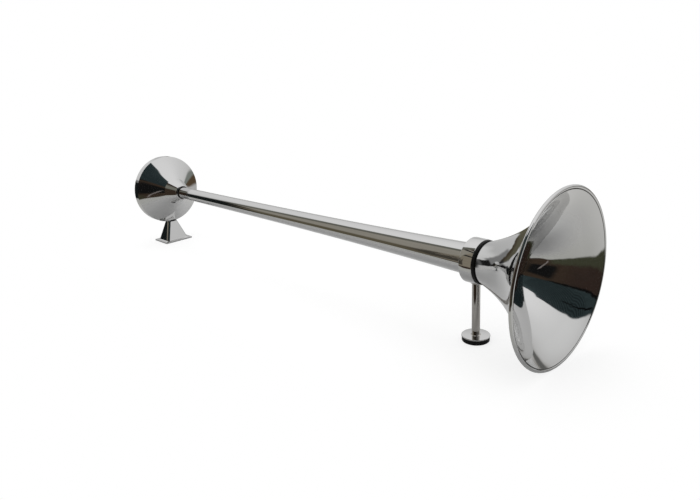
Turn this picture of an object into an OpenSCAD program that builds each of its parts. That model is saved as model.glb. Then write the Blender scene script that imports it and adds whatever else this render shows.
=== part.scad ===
// Air horn: a long polished trumpet on a drum-shaped diaphragm housing.
// It stands on a pyramid foot under the housing and on a post under a
// rubber-lined collar at the neck of the bell. All sizes are millimetres.
// X runs along the horn towards the mouth of the bell, Y is left, Z is up.
// The origin is the centre of the rear foot's underside.

/* [Layout] */
// Height of the trumpet's axis above the deck
axis_h = 90; // [90:1:130]
// Distance from the rear foot's centre to the mouth of the bell
mouth_x = 735.3; // [600:0.1:900]

/* [Bell] */
// Outer diameter of the bell over its rolled rim
bell_d = 178; // [150:1:178]
// Length of the visible flare, from the mouth to the collar
flare_len = 86.8; // [70:0.1:110]
// Outer radius of the bell where it leaves the collar
neck_r = 21; // [20.5:0.1:21.2]
// How sharply the flare opens, 0.5 is nearly a cone
flare_rate = 1.64; // [0.8:0.02:2.4]
// Sheet thickness of the bell
bell_wall = 1; // [0.6:0.1:1.4]
// Radius of the rolled rim bead
bead_r = 1.8; // [1.5:0.1:2.4]
// Radius of the wire rolled into the rim
wire_r = 0.95; // [0.6:0.05:1.05]
// Length of the neck between the collar's front and the straight socket
neck_len = 8; // [6:0.5:10]
// Length of the straight socket that is soldered over the tube
socket_len = 8; // [5:0.5:14]

/* [Trumpet tube] */
// Outer radius of the tube at its small end
tube_rear_r = 9.5; // [9.3:0.1:11]
// Outer radius of the tube where the bell's socket starts
tube_front_r = 16.8; // [15:0.1:17]
// How sharply the tube opens along its length
tube_rate = 2.3; // [0.8:0.1:3.5]
// Wall of the tube
tube_wall = 1; // [0.6:0.1:1.4]

/* [Throat nipple] */
// Outer radius of the sleeve that shows between cover and tube
sleeve_r = 9.2; // [8.9:0.1:9.2]
// Length of sleeve that shows
sleeve_len = 32.5; // [10:0.5:60]
// Length of the spigot inside the tube
spigot_len = 14; // [8:1:30]
// Radius of the throat at the diaphragm
throat_r = 6; // [4:0.1:6.4]
// Radius of the throat where it opens into the tube
throat_exit_r = 7.6; // [6.5:0.1:7.7]
// Radius of the nozzle's lip, on which the diaphragm rests
lip_r = 8.5; // [7.5:0.1:10]
// Radius of the nozzle's body
nozzle_r = 11; // [10.2:0.1:12]
// Across the flats of the nipple's hexagon shoulder
nipple_flats = 26; // [24:0.5:30]
// Length of the hexagon shoulder
nipple_hex_len = 7; // [4:0.5:10]

/* [Front cover] */
// Radius of the housing drum
drum_r = 55.8; // [54:0.1:60]
// Depth of the drum's plain side
drum_depth = 10.6; // [10:0.1:16]
// Radius of the crease between the flare and the nose cone
crease_r = 21; // [18:0.5:26]
// Distance from the drum's front rim to the crease
crease_run = 26.2; // [20:0.1:34]
// Length of the nose cone in front of the crease
nose_len = 22.5; // [14:0.5:28]
// Radius of the nose cone's tip
nose_r = 12.4; // [11.8:0.1:14]
// Rounding of the nose cone's tip
tip_round = 2; // [0.5:0.1:2.2]
// Depth of the countersink round the sleeve in the nose cone's tip
sink_depth = 2; // [0.5:0.1:4]
// How sharply the cover's flare curves, 0.5 is nearly a cone
cover_rate = 0.3; // [0.1:0.1:1.6]
// Wall of the cover's flare, measured along the axis
cover_wall = 3; // [2:0.1:4]
// Radius of the air chamber behind the flare
chamber_r = 43.5; // [40:0.1:44]

/* [Diaphragm and clamp] */
// Radius of the clamped stack behind the drum
stack_r = 52; // [51:0.1:53]
// Thickness of each gasket
gasket_t = 0.6; // [0.5:0.1:2]
// Radius of the diaphragm
diaphragm_r = 45; // [44.5:0.1:45.2]
// Thickness of the diaphragm
diaphragm_t = 0.5; // [0.3:0.05:0.8]
// Height of the diaphragm's ring-shaped wave
wave_h = 0.9; // [0.3:0.1:1.5]
// Inner radius of the wave
wave_in_r = 24; // [20:0.5:28]
// Outer radius of the wave
wave_out_r = 38; // [34:0.5:40]
// Radius of the stiffener in the diaphragm's middle
stiffener_r = 15; // [10:0.5:18]
// Thickness of the stiffener
stiffener_t = 0.8; // [0.4:0.1:1.5]
// How far the diaphragm flexes away from the nozzle
diaphragm_travel = 0.3; // [0.1:0.05:0.5]
// Radial play of the diaphragm in the spacer ring
diaphragm_play = 0.4; // [0.2:0.1:0.5]

/* [Back cover and screws] */
// Thickness of the back cover's flange
back_flange_t = 2.5; // [2.5:0.1:5]
// Thickness of the back cover's dome
back_wall = 1.8; // [1:0.1:2.5]
// Radius where the dome meets the flange
dome_r = 42.5; // [38:0.5:43]
// Height of the dome behind the flange
dome_h = 7; // [4:0.5:14]
// Number of cover screws
screw_count = 8; // [4:2:10]
// Radius of the circle on which the screws lie
screw_circle_r = 48.4; // [48:0.1:48.8]
// Radius of the screws' thread
screw_r = 2; // [1.5:0.1:2.2]
// Depth of each threaded hole in the front cover
thread_depth = 8; // [5:0.5:9]
// Radius of the screw heads
head_r = 3.5; // [3:0.1:3.6]
// Height of the screw heads
head_h = 2.8; // [2:0.1:5]
// Across the flats of the heads' hexagon sockets
socket_flats = 2.5; // [2:0.5:4]
// Thickness of the spring washers
washer_t = 0.9; // [0.5:0.1:1.5]
// Width of the cut in each spring washer
washer_cut = 0.8; // [0.4:0.1:1.5]

/* [Rear foot] */
// Flange length along the horn
flange_x = 41; // [38:0.5:60]
// Flange width across the horn
flange_y = 50; // [46:0.5:70]
// Thickness of the flange
flange_t = 2; // [1.5:0.1:4]
// Corner radius of the flange
flange_corner = 1.5; // [0.5:0.1:6]
// Pyramid length along the horn at its base
base_x = 30.5; // [27:0.5:34]
// Pyramid width across the horn at its base
base_y = 38; // [36.5:0.5:42]
// Pyramid length along the horn under the drum
top_x = 13; // [12.5:0.5:20]
// Pyramid width across the horn under the drum
top_y = 15.5; // [14:0.5:26]
// Rounding of the pyramid's four edges
edge_r = 4.5; // [2:0.1:5]
// Width of the hollow fillet around the pyramid's base
skirt_w = 1.8; // [1:0.1:2.2]
// Thickness of the rubber saddle between foot and drum
saddle_t = 0.8; // [0.4:0.1:1.5]
// Distance of each deck bolt from the foot's centre
deck_bolt_y = 12.7; // [12.5:0.1:13.5]
// Tapping radius of the deck bolts' holes, M6
deck_bolt_r = 2.5; // [1.6:0.05:2.6]
// Depth of the deck bolts' holes
deck_bolt_depth = 8; // [6:0.5:10]

/* [Air inlet] */
// Tapping radius of the air port, G1/4
port_r = 5.9; // [4.4:0.1:6.2]
// Depth of the port's thread
port_depth = 11; // [8:0.5:13]
// Radius of the inlet screw's round head
inlet_head_r = 8.8; // [8:0.1:9.2]
// Height of the inlet screw's head
inlet_head_h = 13; // [12:0.5:16]
// Depth of the head below the foot's underside
inlet_recess = 1; // [0.5:0.1:2]
// Radius of the inlet screw's shank, M8
inlet_shank_r = 4; // [3.5:0.1:4.2]
// Radius of the air passage
passage_r = 2.5; // [1.5:0.1:2.8]
// Length of the shank's thread in the drum
inlet_thread = 7; // [5:0.5:10]

/* [Front support] */
// Outer radius of the collar
collar_r = 23.7; // [23.6:0.1:26]
// Length of the collar along the horn
collar_len = 15.3; // [15:0.1:20]
// Wall of the collar
collar_wall = 1.3; // [0.8:0.1:1.4]
// Chamfer on the collar's outer edges
collar_chamfer = 0.5; // [0.2:0.1:0.8]
// How far the rubber bush stands out in front of the collar
lip_len = 3.5; // [2:0.1:5]
// How far the rubber lip overlaps the collar's front face
lip_overlap = 0.9; // [0.4:0.1:1.1]
// How far the rubber bush lies inside the collar's back edge
bush_recess = 0.8; // [0:0.1:2]
// Distance from the collar's front face to the post's axis
post_back = 9.5; // [7:0.1:10.5]
// Radius of the post
post_r = 4.4; // [3.8:0.1:5.5]
// Width of the weld fillet round the post's top
weld_w = 1.2; // [0.5:0.1:2]
// Tapping radius of the post's threaded hole, M5
post_thread_r = 2.1; // [1.6:0.05:2.5]
// Depth of the post's threaded hole
post_thread_depth = 12; // [8:1:25]
// Radius of the foot disc
disc_r = 15.25; // [12:0.25:22]
// Thickness of the foot disc
disc_t = 1.2; // [1:0.1:3]
// Chamfer on the disc's upper edge
disc_chamfer = 0.4; // [0.1:0.1:0.6]
// Radius of the bolt hole in disc and pad
disc_hole_r = 2.75; // [2.6:0.05:4]
// Radius of the rubber pad
pad_r = 14.8; // [10:0.1:15.2]
// Thickness of the rubber pad
pad_t = 5.5; // [2:0.1:8]
// Rounding of the pad's lower edge
pad_round = 1; // [0.2:0.1:1.5]

/* [Clearances] */
// Play between soldered or screwed pieces
fit = 0.05; // [0.02:0.01:0.1]
// Play round the wire in the rolled rim
wire_play = 0.25; // [0.2:0.05:0.3]
// Play that the solder fills between the spigot and the tube
solder_play = 0.15; // [0.05:0.05:0.2]
// Running play between the rubber bush and the bell's socket
running = 0.06; // [0.02:0.01:0.1]
// Gap between pieces that move past each other
gap = 0.3; // [0.2:0.05:0.5]
// Gap between the nozzle's lip and the diaphragm at rest
lip_gap = 0.15; // [0.05:0.05:0.3]
// Play round the screws in the clamped stack
screw_play = 0.25; // [0.1:0.05:0.4]

/* [Hidden] */
$fn = 96;
// Facets of the rounded corners that are hulled
corner_fn = 32;
// Sides of the rim's wire and of the hollow round it
wire_fn = 12;
// Points along a curved outline
flare_steps = 24;
tube_steps = 16;
wave_steps = 12;
// Overshoot of a cut beyond the face that it opens
cut = 1;
// Thickness of the slices that a hull joins
slice = 0.01;

// Bell and tube
mouth_r = bell_d / 2;
flare_r = mouth_r - bell_wall;
socket_r = tube_front_r + fit + bell_wall;
socket_front = flare_len + neck_len;
socket_back = socket_front + socket_len;
// The sheet meets the bead a little behind the bead's front
lip_start = bead_r / 3;

// Stations along X, from the drum forwards
drum_front = drum_depth / 2;
drum_back = -drum_front;
crease_x = drum_front + crease_run;
nose_x = crease_x + nose_len;
tube_x = nose_x + sleeve_len;
hub_x = crease_x - cover_wall;

// Stations along X, from the drum backwards
gasket_back = drum_back - gasket_t;
disc_front = gasket_back - lip_gap;
disc_back = disc_front - diaphragm_t;
spacer_back = disc_back - diaphragm_travel - gap;
rear_gasket_back = spacer_back - gasket_t;
back_flange_back = rear_gasket_back - back_flange_t;
spacer_in_r = diaphragm_r + diaphragm_play;

// Share of the nose cone's flat tip that the countersink takes
sink_share = 0.8;
sink_w = sink_share * (nose_r - tip_round - sleeve_r - fit);

// Nozzle
seal_t = 1;
nozzle_taper = 5;

// Foot and inlet
saddle_r = drum_r + saddle_t;
foot_top = axis_h - drum_r + 2 * saddle_t;
inlet_top = axis_h - drum_r + inlet_thread;
head_top = inlet_recess + inlet_head_h;
seal_top = head_top + seal_t;

// Front support
collar_front = mouth_x - flare_len;
collar_back = collar_front - collar_len;
collar_in_r = collar_r - collar_wall;
post_x = collar_front - post_back;
disc_top = pad_t + disc_t;

// Radius at share t of a flare that opens from r0 to r1
function flare(t, r0, r1, rate) = r0 + (r1 - r0) * (exp(rate * t) - 1) / (exp(rate) - 1);

// Growth of that radius for each unit of t
function flare_slope(t, r0, r1, rate) = (r1 - r0) * rate * exp(rate * t) / (exp(rate) - 1);

// Outer radius of the bell at distance s behind the mouth
function bell_r(s) = flare(1 - s / flare_len, neck_r, flare_r, flare_rate);

// Radial thickness that gives the sheet its true thickness on a slope
function bell_skin(s) =
    bell_wall * norm([1, flare_slope(1 - s / flare_len, neck_r, flare_r, flare_rate) / flare_len]);

// Outer radius of the tube at share t of its length
function tube_r(t) = flare(t, tube_rear_r, tube_front_r, tube_rate);

// Place along X of the cover's flare at share t, from the rim to the crease
function cover_x(t) = drum_front + crease_run * t;
function cover_r(t) = flare(1 - t, crease_r, drum_r, cover_rate);

// Share of the flare at which the cover has radius r
function cover_share(r) =
    1 - ln(1 + (r - crease_r) / (drum_r - crease_r) * (exp(cover_rate) - 1)) / cover_rate;

// Wave of the diaphragm at radius r
function wave(r) = (r < wave_in_r || r > wave_out_r) ? 0
    : wave_h * pow(sin(180 * (r - wave_in_r) / (wave_out_r - wave_in_r)), 2);

// Radius of the sphere whose cap has base radius r and height h
function cap_sphere_r(r, h) = (r * r + h * h) / (2 * h);

// Turns a shape drawn round Z so that it lies on the trumpet's axis
module on_axis(x = 0) {
    translate([x, 0, axis_h])
        rotate([0, 90, 0])
            children();
}

// Solid of revolution on the trumpet's axis from [radius, x] points
module turned(points) {
    on_axis()
        rotate_extrude()
            polygon(points);
}

// Flat ring on the trumpet's axis
module ring(x0, x1, outer, inner) {
    turned([[inner, x0], [outer, x0], [outer, x1], [inner, x1]]);
}

// Copies for every cover screw, none of them straight above the inlet
module at_screws() {
    for (i = [0 : screw_count - 1])
        on_axis()
            rotate([0, 0, (i + 0.5) * 360 / screw_count])
                translate([screw_circle_r, 0, 0])
                    children();
}

// Holes for the screws through one layer of the stack
module screw_holes(x0, x1, r) {
    at_screws()
        translate([0, 0, x0])
            cylinder(r = r, h = x1 - x0);
}

// Four posts at the corners of a rounded rectangle
module corners(size_x, size_y, r, h) {
    for (x = [-1, 1], y = [-1, 1])
        translate([x * (size_x / 2 - r), y * (size_y / 2 - r), 0])
            cylinder(r = r, h = h);
}

// Plate with rounded corners
module plate(size_x, size_y, r, h) {
    corners(size_x, size_y, r, h);
    translate([-size_x / 2 + r, -size_y / 2, 0])
        cube([size_x - 2 * r, size_y, h]);
    translate([-size_x / 2, -size_y / 2 + r, 0])
        cube([size_x, size_y - 2 * r, h]);
}

// Tapering block between two rounded rectangles
module taper(low, high, z0, z1, r) {
    hull() {
        translate([0, 0, z0])
            corners(low[0], low[1], r, slice, $fn = corner_fn);
        translate([0, 0, z1 - slice])
            corners(high[0], high[1], r, slice, $fn = corner_fn);
    }
}

// Spun bell: the flare, the neck inside the collar, the socket and the rim
module bell() {
    outer = [for (i = [0 : flare_steps])
        let (s = lip_start + (flare_len - lip_start) * i / flare_steps)
        [bell_r(s), mouth_x - s]];
    inner = [for (i = [flare_steps : -1 : 0])
        let (s = lip_start + (flare_len - lip_start) * i / flare_steps)
        [bell_r(s) - bell_skin(s), mouth_x - s]];
    neck = [
        [socket_r, mouth_x - socket_front],
        [socket_r, mouth_x - socket_back],
        [tube_front_r + fit, mouth_x - socket_back],
        [tube_front_r + fit, mouth_x - socket_front]
    ];
    color([0.80, 0.80, 0.81])
        difference() {
            union() {
                turned(concat(outer, neck, inner));
                on_axis(mouth_x - bead_r)
                    rotate_extrude()
                        translate([mouth_r - bead_r, 0])
                            circle(r = bead_r);
            }
            on_axis(mouth_x - bead_r)
                rotate_extrude()
                    translate([mouth_r - bead_r, 0])
                        circle(r = wire_r + wire_play, $fn = wire_fn);
            // The open edge of the curl, at the back of the bead
            ring(mouth_x - 2 * bead_r - cut, mouth_x - bead_r,
                mouth_r - bead_r + gap / 2, mouth_r - bead_r - gap / 2);
        }
}

// Wire that stiffens the rolled rim
module rim_wire() {
    color([0.62, 0.62, 0.63])
        on_axis(mouth_x - bead_r)
            rotate_extrude()
                translate([mouth_r - bead_r, 0])
                    circle(r = wire_r, $fn = wire_fn);
}

// Flared trumpet tube with a straight end inside the bell's socket
module trumpet_tube() {
    front = mouth_x - socket_back;
    outer = [for (i = [0 : tube_steps])
        let (t = i / tube_steps)
        [tube_r(t), tube_x + (front - tube_x) * t]];
    inner = [for (i = [tube_steps : -1 : 0])
        let (t = i / tube_steps)
        [tube_r(t) - tube_wall, tube_x + (front - tube_x) * t]];
    land = [
        [tube_front_r, mouth_x - socket_front],
        [tube_front_r - tube_wall, mouth_x - socket_front]
    ];
    color([0.78, 0.78, 0.79])
        turned(concat(outer, land, inner));
}

// Nipple that carries the tube: nozzle, hexagon shoulder, thread and sleeve
module throat_nipple() {
    shoulder = hub_x - seal_t;
    color([0.74, 0.74, 0.75])
        difference() {
            union() {
                turned([
                    [0, gasket_back],
                    [lip_r, gasket_back],
                    [nozzle_r, gasket_back + nozzle_taper],
                    [nozzle_r, shoulder],
                    [0, shoulder]
                ]);
                on_axis(shoulder - nipple_hex_len)
                    cylinder(d = nipple_flats / cos(30), h = nipple_hex_len, $fn = 6);
                ring(shoulder, tube_x, sleeve_r, 0);
                ring(tube_x, tube_x + spigot_len, tube_rear_r - tube_wall - solder_play, 0);
            }
            turned([
                [0, gasket_back - cut],
                [throat_r, gasket_back - cut],
                [throat_r, gasket_back],
                [throat_exit_r, tube_x + spigot_len],
                [throat_exit_r, tube_x + spigot_len + cut],
                [0, tube_x + spigot_len + cut]
            ]);
        }
}

// Fibre washer under the nipple's shoulder
module throat_seal() {
    color([0.45, 0.20, 0.14])
        ring(hub_x - seal_t, hub_x, nipple_flats / 2, sleeve_r + fit);
}

// Front half of the housing: drum side, flare, nose cone and air chamber
module front_cover() {
    chamber_t = cover_share(chamber_r);
    outer = [for (i = [0 : flare_steps])
        let (t = i / flare_steps)
        [cover_r(t), cover_x(t)]];
    inner = [for (i = [flare_steps : -1 : 0])
        let (t = chamber_t + (1 - chamber_t) * i / flare_steps)
        [cover_r(t), cover_x(t) - cover_wall]];
    tip = [for (a = [0 : 15 : 90])
        [nose_r - tip_round + tip_round * cos(a), nose_x - tip_round + tip_round * sin(a)]];
    color([0.80, 0.80, 0.81])
        difference() {
            turned(concat(
                [[drum_r, drum_back]],
                outer,
                tip,
                [
                    [sleeve_r + fit + sink_w, nose_x],
                    [sleeve_r + fit, nose_x - sink_depth],
                    [sleeve_r + fit, hub_x]
                ],
                inner,
                [[chamber_r, drum_back]]
            ));
            screw_holes(drum_back - cut, drum_back + thread_depth, screw_r + fit);
            // Threaded seat of the inlet screw and the passage to the chamber
            translate([0, 0, axis_h - drum_r - cut])
                cylinder(r = inlet_shank_r + fit, h = inlet_thread + fit + cut);
            translate([0, 0, axis_h - drum_r])
                cylinder(r = passage_r, h = drum_r - chamber_r + cut);
        }
}

// Gasket between the front cover and the diaphragm
module front_gasket() {
    color([0.12, 0.12, 0.12])
        difference() {
            ring(gasket_back, drum_back, stack_r, chamber_r);
            screw_holes(gasket_back - cut, drum_back + cut, screw_r + screw_play);
        }
}

// Spring-steel diaphragm with one ring-shaped wave
module diaphragm() {
    stations = concat([0], [for (i = [0 : wave_steps])
        wave_in_r + (wave_out_r - wave_in_r) * i / wave_steps], [diaphragm_r]);
    last = len(stations) - 1;
    front = [for (i = [0 : last]) [stations[i], disc_front - wave(stations[i])]];
    back = [for (i = [last : -1 : 0]) [stations[i], disc_back - wave(stations[i])]];
    color([0.66, 0.67, 0.70])
        turned(concat(front, back));
}

// Round plate that stiffens the diaphragm's middle
module diaphragm_stiffener() {
    color([0.70, 0.60, 0.35])
        ring(disc_back - stiffener_t, disc_back, stiffener_r, 0);
}

// Ring that keeps the two gaskets apart and centres the diaphragm
module spacer_ring() {
    color([0.70, 0.70, 0.72])
        difference() {
            ring(spacer_back, gasket_back, stack_r, spacer_in_r);
            screw_holes(spacer_back - cut, gasket_back + cut, screw_r + screw_play);
        }
}

// Gasket between the diaphragm and the back cover
module rear_gasket() {
    color([0.12, 0.12, 0.12])
        difference() {
            ring(rear_gasket_back, spacer_back, stack_r, chamber_r);
            screw_holes(rear_gasket_back - cut, spacer_back + cut, screw_r + screw_play);
        }
}

// Back cover: screwed flange with a shallow dome
module back_cover() {
    sphere_r = cap_sphere_r(dome_r, dome_h);
    color([0.78, 0.78, 0.79])
        difference() {
            union() {
                ring(back_flange_back, rear_gasket_back, stack_r, 0);
                intersection() {
                    on_axis(back_flange_back - dome_h + sphere_r)
                        sphere(r = sphere_r);
                    ring(back_flange_back - dome_h - cut, rear_gasket_back, dome_r, 0);
                }
            }
            intersection() {
                on_axis(back_flange_back - dome_h + sphere_r)
                    sphere(r = sphere_r - back_wall);
                ring(back_flange_back - dome_h, rear_gasket_back + cut, dome_r - back_wall, 0);
            }
            screw_holes(back_flange_back - cut, rear_gasket_back + cut, screw_r + screw_play);
        }
}

// Cap screws that clamp the stack, threaded into the front cover
module cover_screws() {
    head_x = back_flange_back - washer_t;
    color([0.62, 0.62, 0.64])
        at_screws()
            difference() {
                union() {
                    translate([0, 0, head_x - head_h])
                        cylinder(r = head_r, h = head_h);
                    translate([0, 0, head_x])
                        cylinder(r = screw_r, h = drum_back + thread_depth - screw_r / 2 - head_x);
                }
                translate([0, 0, head_x - head_h - cut])
                    cylinder(d = socket_flats / cos(30), h = head_h / 2 + cut, $fn = 6);
            }
}

// Split spring washers under the screw heads
module spring_washers() {
    color([0.55, 0.55, 0.57])
        at_screws()
            translate([0, 0, back_flange_back - washer_t])
                difference() {
                    cylinder(r = head_r, h = washer_t);
                    translate([0, 0, -cut])
                        cylinder(r = screw_r + screw_play, h = washer_t + 2 * cut);
                    translate([0, -washer_cut / 2, -cut])
                        cube([head_r + cut, washer_cut, washer_t + 2 * cut]);
                }
}

// Pyramid foot with a flange, drilled for the inlet screw and deck bolts
module rear_foot() {
    skirt = [base_x + 2 * skirt_w, base_y + 2 * skirt_w];
    half_skirt = [base_x + 0.6 * skirt_w, base_y + 0.6 * skirt_w];
    base = [base_x, base_y];
    skirt_h = skirt_w;
    base_z = flange_t + 1.4 * skirt_h;
    color([0.79, 0.79, 0.80])
        difference() {
            union() {
                plate(flange_x, flange_y, flange_corner, flange_t);
                taper(skirt, half_skirt, flange_t - slice, flange_t + 0.45 * skirt_h, edge_r);
                taper(half_skirt, base, flange_t + 0.45 * skirt_h - slice, base_z, edge_r);
                taper(base, [top_x, top_y], base_z - slice, foot_top, edge_r);
            }
            on_axis(-flange_x)
                cylinder(r = saddle_r, h = 2 * flange_x);
            translate([0, 0, -cut])
                cylinder(r = inlet_head_r + fit, h = seal_top + cut);
            cylinder(r = inlet_shank_r + screw_play, h = foot_top + cut);
            for (side = [-1, 1])
                translate([0, side * deck_bolt_y, -cut])
                    cylinder(r = deck_bolt_r, h = deck_bolt_depth + cut);
        }
}

// Rubber saddle between the pyramid's top and the drum
module saddle_gasket() {
    color([0.06, 0.06, 0.06])
        difference() {
            intersection() {
                translate([0, 0, axis_h - saddle_r])
                    plate(top_x, top_y, edge_r, saddle_r / 4);
                on_axis(-top_x)
                    cylinder(r = saddle_r, h = 2 * top_x);
            }
            on_axis(-top_x)
                cylinder(r = drum_r, h = 2 * top_x);
            cylinder(r = inlet_shank_r + screw_play, h = axis_h);
        }
}

// Hollow screw that clamps the foot to the drum and brings in the air
module inlet_screw() {
    color([0.72, 0.58, 0.30])
        difference() {
            union() {
                translate([0, 0, inlet_recess])
                    cylinder(r = inlet_head_r, h = inlet_head_h);
                translate([0, 0, head_top])
                    cylinder(r = inlet_shank_r, h = inlet_top - head_top);
            }
            translate([0, 0, inlet_recess - cut])
                cylinder(r = port_r, h = port_depth + cut);
            translate([0, 0, inlet_recess])
                cylinder(r = passage_r, h = axis_h);
        }
}

// Fibre washer on the inlet screw's head
module inlet_seal() {
    color([0.45, 0.20, 0.14])
        translate([0, 0, head_top])
            difference() {
                cylinder(r = inlet_head_r, h = seal_t);
                translate([0, 0, -cut])
                    cylinder(r = inlet_shank_r + fit, h = seal_t + 2 * cut);
            }
}

// Polished ring round the rubber bush
module support_collar() {
    c = collar_chamfer;
    color([0.80, 0.80, 0.81])
        turned([
            [collar_in_r, collar_back],
            [collar_r - c, collar_back],
            [collar_r, collar_back + c],
            [collar_r, collar_front - c],
            [collar_r - c, collar_front],
            [collar_in_r, collar_front]
        ]);
}

// Rubber bush that grips the bell's socket and shows as a black ring
module collar_bush() {
    lip_x = collar_front + lip_len;
    lip_in_r = bell_r(flare_len - lip_len) + gap;
    flange_r = collar_in_r + lip_overlap;
    bore_r = socket_r + running;
    color([0.05, 0.05, 0.05])
        turned([
            [bore_r, collar_back + bush_recess],
            [collar_in_r, collar_back + bush_recess],
            [collar_in_r, collar_front],
            [flange_r, collar_front],
            [flange_r, lip_x - lip_overlap],
            [flange_r - lip_overlap / 2, lip_x - lip_overlap / 4],
            [flange_r - lip_overlap, lip_x],
            [lip_in_r, lip_x],
            [neck_r + gap, collar_front],
            [bore_r, collar_front - neck_len]
        ]);
}

// Post with a saddle-cut, welded top and a threaded hole from below
module support_post() {
    weld_z = axis_h - sqrt(collar_r * collar_r - post_r * post_r);
    color([0.78, 0.78, 0.79])
        difference() {
            union() {
                translate([post_x, 0, disc_top])
                    cylinder(r = post_r, h = axis_h - collar_in_r - disc_top);
                translate([post_x, 0, weld_z - weld_w])
                    cylinder(r1 = post_r, r2 = post_r + 2 * weld_w, h = 2 * weld_w);
            }
            on_axis(collar_back - collar_len)
                cylinder(r = collar_r, h = 3 * collar_len);
            translate([post_x, 0, disc_top - cut])
                cylinder(r = post_thread_r, h = post_thread_depth + cut);
        }
}

// Polished disc under the post
module foot_disc() {
    c = disc_chamfer;
    color([0.80, 0.80, 0.81])
        translate([post_x, 0, pad_t])
            rotate_extrude()
                polygon([
                    [disc_hole_r, 0],
                    [disc_r, 0],
                    [disc_r, disc_t - c],
                    [disc_r - c, disc_t],
                    [disc_hole_r, disc_t]
                ]);
}

// Rubber pad under the disc
module foot_pad() {
    color([0.05, 0.05, 0.05])
        translate([post_x, 0, 0])
            rotate_extrude()
                polygon(concat(
                    [[disc_hole_r, 0]],
                    [for (a = [0 : 30 : 90])
                        [pad_r - pad_round + pad_round * sin(a), pad_round - pad_round * cos(a)]],
                    [[pad_r, pad_t], [disc_hole_r, pad_t]]
                ));
}

bell();
rim_wire();
trumpet_tube();
throat_nipple();
throat_seal();
front_cover();
front_gasket();
diaphragm();
diaphragm_stiffener();
spacer_ring();
rear_gasket();
back_cover();
cover_screws();
spring_washers();
rear_foot();
saddle_gasket();
inlet_screw();
inlet_seal();
support_collar();
collar_bush();
support_post();
foot_disc();
foot_pad();
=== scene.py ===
import math

import bmesh
import bpy
from mathutils import Matrix, Vector


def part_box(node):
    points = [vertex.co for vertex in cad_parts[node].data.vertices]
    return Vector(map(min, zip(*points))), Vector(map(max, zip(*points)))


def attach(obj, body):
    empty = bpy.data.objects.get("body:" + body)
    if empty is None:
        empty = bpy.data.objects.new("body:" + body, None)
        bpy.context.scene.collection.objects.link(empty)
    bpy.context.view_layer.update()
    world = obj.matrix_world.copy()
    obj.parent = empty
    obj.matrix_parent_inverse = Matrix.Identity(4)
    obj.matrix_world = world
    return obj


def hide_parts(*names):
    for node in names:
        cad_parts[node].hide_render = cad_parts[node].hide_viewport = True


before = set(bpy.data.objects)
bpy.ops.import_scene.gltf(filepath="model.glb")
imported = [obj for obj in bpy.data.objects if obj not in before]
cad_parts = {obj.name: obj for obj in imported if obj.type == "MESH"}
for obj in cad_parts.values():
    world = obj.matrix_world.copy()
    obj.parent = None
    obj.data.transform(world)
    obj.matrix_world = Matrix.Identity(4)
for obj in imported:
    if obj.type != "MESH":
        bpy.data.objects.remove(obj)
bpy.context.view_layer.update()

# One millimetre, in metres
MM = 0.001


def span(node):
    """Lowest and highest corner of a CAD node at rest, in millimetres."""
    low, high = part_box(node)
    return low / MM, high / MM


bell_low, bell_high = span("bell")
tube_low, tube_high = span("trumpet_tube")
collar_low, collar_high = span("support_collar")
post_low, post_high = span("support_post")
disc_low, disc_high = span("foot_disc")
cover_low, cover_high = span("back_cover")

# Height of the trumpet's axis, in metres
AXIS_Z = (bell_low.z + bell_high.z) / 2 * MM

# Sizes of the turned pieces, in millimetres. The nodes' boxes give those that they show. A name that
# ends in X is a place along the trumpet

# Bell. Its flare starts at the collar's front, and its socket holds the tube's straight end
MOUTH_X = bell_high.x
MOUTH_R = bell_high.y
FLARE_LEN = MOUTH_X - collar_high.x
FLARE_RATE = 1.64
NECK_R = 21.0
BELL_WALL = 1.0
BEAD_R = 1.8
SOCKET_X = bell_low.x
# Extra slope of the bell at its rim, and how far back it starts
TURN_OUT = 0.35
TURN_OUT_LEN = 16.0

# Trumpet tube, and the gap of its soldered joint with the bell's socket
TUBE_X = tube_low.x
TUBE_END_X = tube_high.x
TUBE_REAR_R = 9.5
TUBE_FRONT_R = (tube_high.z - tube_low.z) / 2
TUBE_RATE = 2.3
TUBE_WALL = 1.0
SOLDER_PLAY = 0.05

# Sleeve, and the front end of the nose cone that it comes out of
SLEEVE_R = 9.2
NOSE_X = span("front_cover")[1].x

# Front support
COLLAR_R = AXIS_Z / MM - collar_low.z
COLLAR_WALL = 1.3
POST_X = (post_low.x + post_high.x) / 2
POST_R = 4.4
DISC_R = disc_high.x - POST_X
DISC_HOLE_R = 2.75
DISC_LOW = disc_low.z
DISC_HIGH = disc_high.z

# Back cover: a flange, and a dome that stands out behind it
COVER_R = cover_high.y
COVER_FRONT_X = cover_high.x
COVER_FLANGE = 2.5
COVER_DOME_R = 42.5
COVER_DOME_H = COVER_FRONT_X - COVER_FLANGE - cover_low.x
COVER_WALL = 1.8

# Cover screws and their holes
SCREW_COUNT = 8
SCREW_CIRCLE_R = 48.4
SCREW_HOLE_R = 2.25
SCREW_R = 2.0
THREAD_PITCH = 0.7
HEAD_R = 3.5
HEAD_H = 2.8
SOCKET_FLATS = 2.5

# Facets round a large turned piece, a slim one and a small one
FACETS = 256
SLIM_FACETS = 128
SMALL_FACETS = 96
# Edges that turn by more than this many degrees stay sharp
SHARP = 28


# Camera


def look_frame(yaw, pitch, roll):
    """Rotation of a camera that looks along yaw and pitch, then rolls about its view."""
    reach = math.cos(pitch)
    forward = Vector((reach * math.cos(yaw), reach * math.sin(yaw), math.sin(pitch)))
    level = forward.cross(Vector((0, 0, 1))).normalized()
    upward = level.cross(forward)
    right = math.cos(roll) * level + math.sin(roll) * upward
    up = math.cos(roll) * upward - math.sin(roll) * level
    return Matrix((right, up, -forward)).transposed()


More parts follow.
